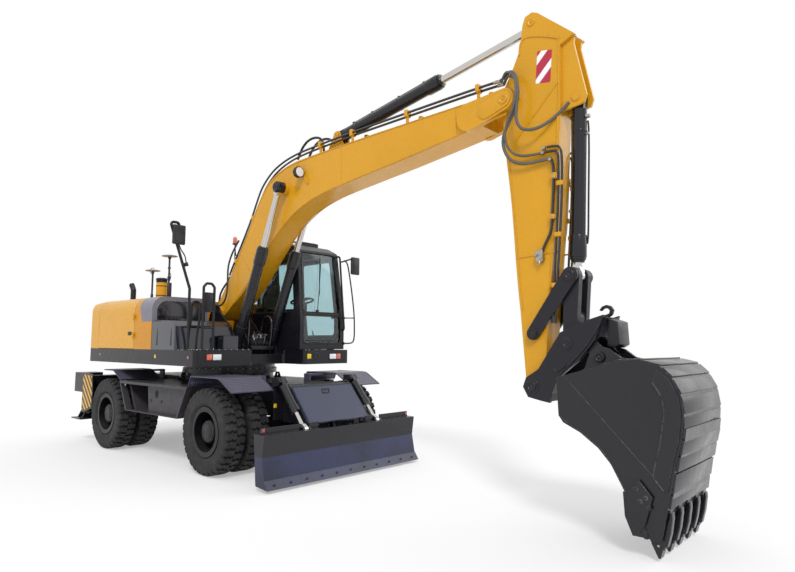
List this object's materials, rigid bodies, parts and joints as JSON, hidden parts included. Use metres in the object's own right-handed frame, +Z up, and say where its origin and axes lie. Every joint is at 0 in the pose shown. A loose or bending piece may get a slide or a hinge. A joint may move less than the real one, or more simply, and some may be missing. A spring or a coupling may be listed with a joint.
{
  "type": "wheeled excavator",
  "caption": "Wheeled excavator with twin tyres, a front dozer blade, rear outriggers, a cab beside a one-piece boom, an arm and a toothed bucket on a quick coupler.",
  "frame": {"origin": "on the ground below the centre of the machine's bounding box", "axes": "+X forward to the dozer blade and the bucket, +Y to the operator's left, +Z up"},
  "size_m": [9.3758, 2.9986, 4.8728],
  "materials": {
    "body_yellow": "gloss paint",
    "frame_black": "satin paint",
    "tool_grey": "satin paint",
    "tyre": "rubber",
    "rim": "satin paint",
    "rod": "polished",
    "cast": "painted casting",
    "window_glass": "tinted",
    "seat_fabric": "woven",
    "cab_plastic": "grained"
  },
  "bodies": {
    "chassis": {"chassis_frame": "frame_black", "slew_ring": "frame_black", "axles": "cast", "fenders": "frame_black", "side_boxes": "frame_black", "outrigger_frame": "frame_black", "front_toolbox": "frame_black"},
    "toolbox_lid": {"front_toolbox_lid": "frame_black"},
    "knuckle_left": {"knuckle_left": "cast"},
    "knuckle_right": {"knuckle_right": "cast"},
    "steering_rod": {"steering_rod": "frame_black"},
    "wheel_front_left": {"tyres_front_left": "tyre", "rims_front_left": "rim"},
    "wheel_front_right": {"tyres_front_right": "tyre", "rims_front_right": "rim"},
    "wheel_rear_left": {"tyres_rear_left": "tyre", "rims_rear_left": "rim"},
    "wheel_rear_right": {"tyres_rear_right": "tyre", "rims_rear_right": "rim"},
    "blade_lower_links": {"blade_lower_links": "frame_black"},
    "blade_upper_links": {"blade_upper_links": "frame_black"},
    "blade": {"blade": "tool_grey"},
    "blade_cylinder_barrels": {"blade_cylinder_barrels": "frame_black"},
    "blade_cylinder_rods": {"blade_cylinder_rods": "rod"},
    "outrigger_left_leg": {"outrigger_leg_left": "frame_black"},
    "outrigger_left_foot": {"outrigger_foot_left": "frame_black"},
    "outrigger_left_barrel": {"outrigger_barrel_left": "frame_black"},
    "outrigger_left_rod": {"outrigger_rod_left": "rod"},
    "outrigger_right_leg": {"outrigger_leg_right": "frame_black"},
    "outrigger_right_foot": {"outrigger_foot_right": "frame_black"},
    "outrigger_right_barrel": {"outrigger_barrel_right": "frame_black"},
    "outrigger_right_rod": {"outrigger_rod_right": "rod"},
    "upper_structure": {"upper_frame": "frame_black", "counterweight": "body_yellow", "engine": "cast", "hood_frame": "frame_black", "deck_boxes": "frame_black", "cab_shell": "frame_black", "cab_panes": "window_glass", "cab_fittings": "cab_plastic", "operator_seat": "seat_fabric", "rails_and_mirrors": "frame_black", "exhaust_and_intake": "frame_black"},
    "service_door_right": {"service_door_right": "body_yellow"},
    "service_door_left": {"service_door_left": "body_yellow"},
    "engine_hood": {"engine_hood": "body_yellow"},
    "cab_door": {"cab_door": "frame_black", "door_pane": "window_glass"},
    "boom": {"boom": "body_yellow"},
    "boom_cylinder_barrels": {"boom_cylinder_barrels": "frame_black"},
    "boom_cylinder_rods": {"boom_cylinder_rods": "rod"},
    "arm": {"arm": "body_yellow"},
    "arm_cylinder_barrel": {"arm_cylinder_barrel": "frame_black"},
    "arm_cylinder_rod": {"arm_cylinder_rod": "rod"},
    "bucket_cylinder_barrel": {"bucket_cylinder_barrel": "frame_black"},
    "bucket_cylinder_rod": {"bucket_cylinder_rod": "rod"},
    "side_links": {"side_links": "tool_grey"},
    "push_link": {"push_link": "tool_grey"},
    "bucket": {"quick_coupler": "tool_grey", "bucket": "tool_grey"}
  },
  "joints": [
    {"name": "slew", "type": "hinge", "parent": "chassis", "child": "upper_structure", "pos_m": [-2, 0, 1.232], "axis": [0, 0, 1], "continuous": true},
    {"name": "steer_left", "type": "hinge", "parent": "chassis", "child": "knuckle_left", "pos_m": [-0.625, 0.735, 0.525], "axis": [0, 0, 1], "range_deg": [-25, 25]},
    {"name": "steer_right", "type": "hinge", "parent": "chassis", "child": "knuckle_right", "pos_m": [-0.625, -0.735, 0.525], "axis": [0, 0, 1], "range_deg": [-25, 25]},
    {"name": "steering_rod_slide", "type": "slide", "parent": "chassis", "child": "steering_rod", "axis": [0, 1, 0], "range_m": [-0.0878, 0.0878]},
    {"name": "wheel_front_left_spin", "type": "hinge", "parent": "knuckle_left", "child": "wheel_front_left", "pos_m": [-0.625, 0.941, 0.525], "axis": [0, 1, 0], "continuous": true},
    {"name": "wheel_front_right_spin", "type": "hinge", "parent": "knuckle_right", "child": "wheel_front_right", "pos_m": [-0.625, -0.941, 0.525], "axis": [0, 1, 0], "continuous": true},
    {"name": "wheel_rear_left_spin", "type": "hinge", "parent": "chassis", "child": "wheel_rear_left", "pos_m": [-3.425, 0.941, 0.525], "axis": [0, 1, 0], "continuous": true},
    {"name": "wheel_rear_right_spin", "type": "hinge", "parent": "chassis", "child": "wheel_rear_right", "pos_m": [-3.425, -0.941, 0.525], "axis": [0, 1, 0], "continuous": true},
    {"name": "blade_lift", "type": "hinge", "parent": "chassis", "child": "blade_lower_links", "pos_m": [-0.04, 0, 0.29], "axis": [0, -1, 0], "range_deg": [-3.3, 25.5]},
    {"name": "blade_upper_links_turn", "type": "hinge", "parent": "chassis", "child": "blade_upper_links", "pos_m": [-0.04, 0, 0.455], "axis": [0, -1, 0], "range_deg": [-3.31, 25.51]},
    {"name": "blade_level", "type": "hinge", "parent": "blade_lower_links", "child": "blade", "pos_m": [0.50337, 0, 0.15452], "axis": [0, -1, 0], "range_deg": [-25.51, 3.31]},
    {"name": "blade_cylinder_turn", "type": "hinge", "parent": "chassis", "child": "blade_cylinder_barrels", "pos_m": [0.03, 0, 1.13], "axis": [0, -1, 0], "range_deg": [-2.27, 17.51]},
    {"name": "blade_cylinder_slide", "type": "slide", "parent": "blade_cylinder_barrels", "child": "blade_cylinder_rods", "axis": [0.6555, 0, -0.7552], "range_m": [-0.156, 0.0211]},
    {"name": "toolbox_lid_turn", "type": "hinge", "parent": "chassis", "child": "toolbox_lid", "pos_m": [0.448, 0, 0.626], "axis": [0, -1, 0], "range_deg": [-33, 0]},
    {"name": "outrigger_left_leg_turn", "type": "hinge", "parent": "chassis", "child": "outrigger_left_leg", "pos_m": [-4.45, 0.33, 0.56], "axis": [-1, 0, 0], "range_deg": [0, 27]},
    {"name": "outrigger_left_foot_turn", "type": "hinge", "parent": "outrigger_left_leg", "child": "outrigger_left_foot", "pos_m": [-4.45, 1.12, 0.47], "axis": [-1, 0, 0], "range_deg": [-27.01, 0]},
    {"name": "outrigger_left_cylinder_turn", "type": "hinge", "parent": "chassis", "child": "outrigger_left_barrel", "pos_m": [-4.45, 1.01, 1.034], "axis": [-1, 0, 0], "range_deg": [0, 6.1]},
    {"name": "outrigger_left_cylinder_slide", "type": "slide", "parent": "outrigger_left_barrel", "child": "outrigger_left_rod", "axis": [0, -0.0444, -0.999], "range_m": [-0.001, 0.3028]},
    {"name": "outrigger_right_leg_turn", "type": "hinge", "parent": "chassis", "child": "outrigger_right_leg", "pos_m": [-4.45, -0.33, 0.56], "axis": [1, 0, 0], "range_deg": [0, 27]},
    {"name": "outrigger_right_foot_turn", "type": "hinge", "parent": "outrigger_right_leg", "child": "outrigger_right_foot", "pos_m": [-4.45, -1.12, 0.47], "axis": [1, 0, 0], "range_deg": [-27.01, 0]},
    {"name": "outrigger_right_cylinder_turn", "type": "hinge", "parent": "chassis", "child": "outrigger_right_barrel", "pos_m": [-4.45, -1.01, 1.034], "axis": [1, 0, 0], "range_deg": [0, 6.1]},
    {"name": "outrigger_right_cylinder_slide", "type": "slide", "parent": "outrigger_right_barrel", "child": "outrigger_right_rod", "axis": [0, 0.0444, -0.999], "range_m": [-0.001, 0.3028]},
    {"name": "service_door_right_turn", "type": "hinge", "parent": "upper_structure", "child": "service_door_right", "pos_m": [-2.557, -1.266, 1.8], "axis": [0, 0, 1], "range_deg": [0, 100]},
    {"name": "service_door_left_turn", "type": "hinge", "parent": "upper_structure", "child": "service_door_left", "pos_m": [-2.557, 1.266, 1.8], "axis": [0, 0, -1], "range_deg": [0, 100]},
    {"name": "engine_hood_turn", "type": "hinge", "parent": "upper_structure", "child": "engine_hood", "pos_m": [-2.557, 0, 2.266], "axis": [0, -1, 0], "range_deg": [-55, 0]},
    {"name": "cab_door_turn", "type": "hinge", "parent": "upper_structure", "child": "cab_door", "pos_m": [-1.833, 1.256, 2.2], "axis": [0, 0, -1], "range_deg": [-105, 0]},
    {"name": "boom_lift", "type": "hinge", "parent": "upper_structure", "child": "boom", "pos_m": [-2.09, 0, 2.055], "axis": [0, -1, 0], "range_deg": [-48, 38]},
    {"name": "boom_cylinder_turn", "type": "hinge", "parent": "upper_structure", "child": "boom_cylinder_barrels", "pos_m": [-1.415, 0, 1.54], "axis": [0, -1, 0], "range_deg": [-45.05, 35.66]},
    {"name": "boom_cylinder_slide", "type": "slide", "parent": "boom_cylinder_barrels", "child": "boom_cylinder_rods", "axis": [0.3848, 0, 0.923], "range_m": [-0.6644, 0.5262]},
    {"name": "arm_swing", "type": "hinge", "parent": "boom", "child": "arm", "pos_m": [2.984, 0, 4.034], "axis": [0, 1, 0], "range_deg": [-80, 32]},
    {"name": "arm_cylinder_turn", "type": "hinge", "parent": "boom", "child": "arm_cylinder_barrel", "pos_m": [0.4, 0, 4.285], "axis": [0, 1, 0], "range_deg": [-2.25, 0.9]},
    {"name": "arm_cylinder_slide", "type": "slide", "parent": "arm_cylinder_barrel", "child": "arm_cylinder_rod", "axis": [0.9856, 0, 0.1692], "range_m": [-0.9754, 0.3908]},
    {"name": "bucket_curl", "type": "hinge", "parent": "arm", "child": "bucket", "pos_m": [3.24, 0, 1.219], "axis": [0, 1, 0], "range_deg": [-4, 140]},
    {"name": "side_links_turn", "type": "hinge", "parent": "arm", "child": "side_links", "pos_m": [3.246, 0, 1.708], "axis": [0, 1, 0], "range_deg": [-3.33, 116.53]},
    {"name": "push_link_turn", "type": "hinge", "parent": "side_links", "child": "push_link", "pos_m": [3.628, 0, 2.234], "axis": [0, 1, 0], "range_deg": [-87.18, 2.49]},
    {"name": "bucket_cylinder_turn", "type": "hinge", "parent": "arm", "child": "bucket_cylinder_barrel", "pos_m": [3.69, 0, 3.905], "axis": [0, 1, 0], "range_deg": [-5.2, 0.15]},
    {"name": "bucket_cylinder_slide", "type": "slide", "parent": "bucket_cylinder_barrel", "child": "bucket_cylinder_rod", "axis": [-0.0371, 0, -0.9993], "range_m": [-0.033, 1.1206]}
  ],
  "couplings": [
    {"joint": "steer_right", "follows": "steer_left", "ratio": 1},
    {"joint": "steering_rod_slide", "follows": "steer_left", "m_per_rad": -0.19856},
    {"joint": "blade_upper_links_turn", "follows": "blade_lift", "ratio": 1},
    {"joint": "blade_level", "follows": "blade_lift", "ratio": -1},
    {"joint": "blade_cylinder_turn", "follows": "blade_lift", "ratio": 0.68527},
    {"joint": "blade_cylinder_slide", "follows": "blade_lift", "m_per_rad": -0.34762},
    {"joint": "outrigger_left_foot_turn", "follows": "outrigger_left_leg_turn", "ratio": -1},
    {"joint": "outrigger_left_cylinder_turn", "follows": "outrigger_left_leg_turn", "ratio": 0.22534},
    {"joint": "outrigger_left_cylinder_slide", "follows": "outrigger_left_leg_turn", "m_per_rad": 0.63911},
    {"joint": "outrigger_right_foot_turn", "follows": "outrigger_right_leg_turn", "ratio": -1},
    {"joint": "outrigger_right_cylinder_turn", "follows": "outrigger_right_leg_turn", "ratio": 0.22534},
    {"joint": "outrigger_right_cylinder_slide", "follows": "outrigger_right_leg_turn", "m_per_rad": 0.63911},
    {"joint": "boom_cylinder_turn", "follows": "boom_lift", "ratio": 0.93654},
    {"joint": "boom_cylinder_slide", "follows": "boom_lift", "m_per_rad": 0.79026},
    {"joint": "arm_cylinder_turn", "follows": "arm_swing", "ratio": 0.02808},
    {"joint": "arm_cylinder_slide", "follows": "arm_swing", "m_per_rad": 0.69647},
    {"joint": "side_links_turn", "follows": "bucket_curl", "ratio": 0.83066},
    {"joint": "push_link_turn", "follows": "bucket_curl", "ratio": -0.62146},
    {"joint": "bucket_cylinder_turn", "follows": "bucket_curl", "ratio": -0.03704},
    {"joint": "bucket_cylinder_slide", "follows": "bucket_curl", "m_per_rad": 0.45728}
  ]
}
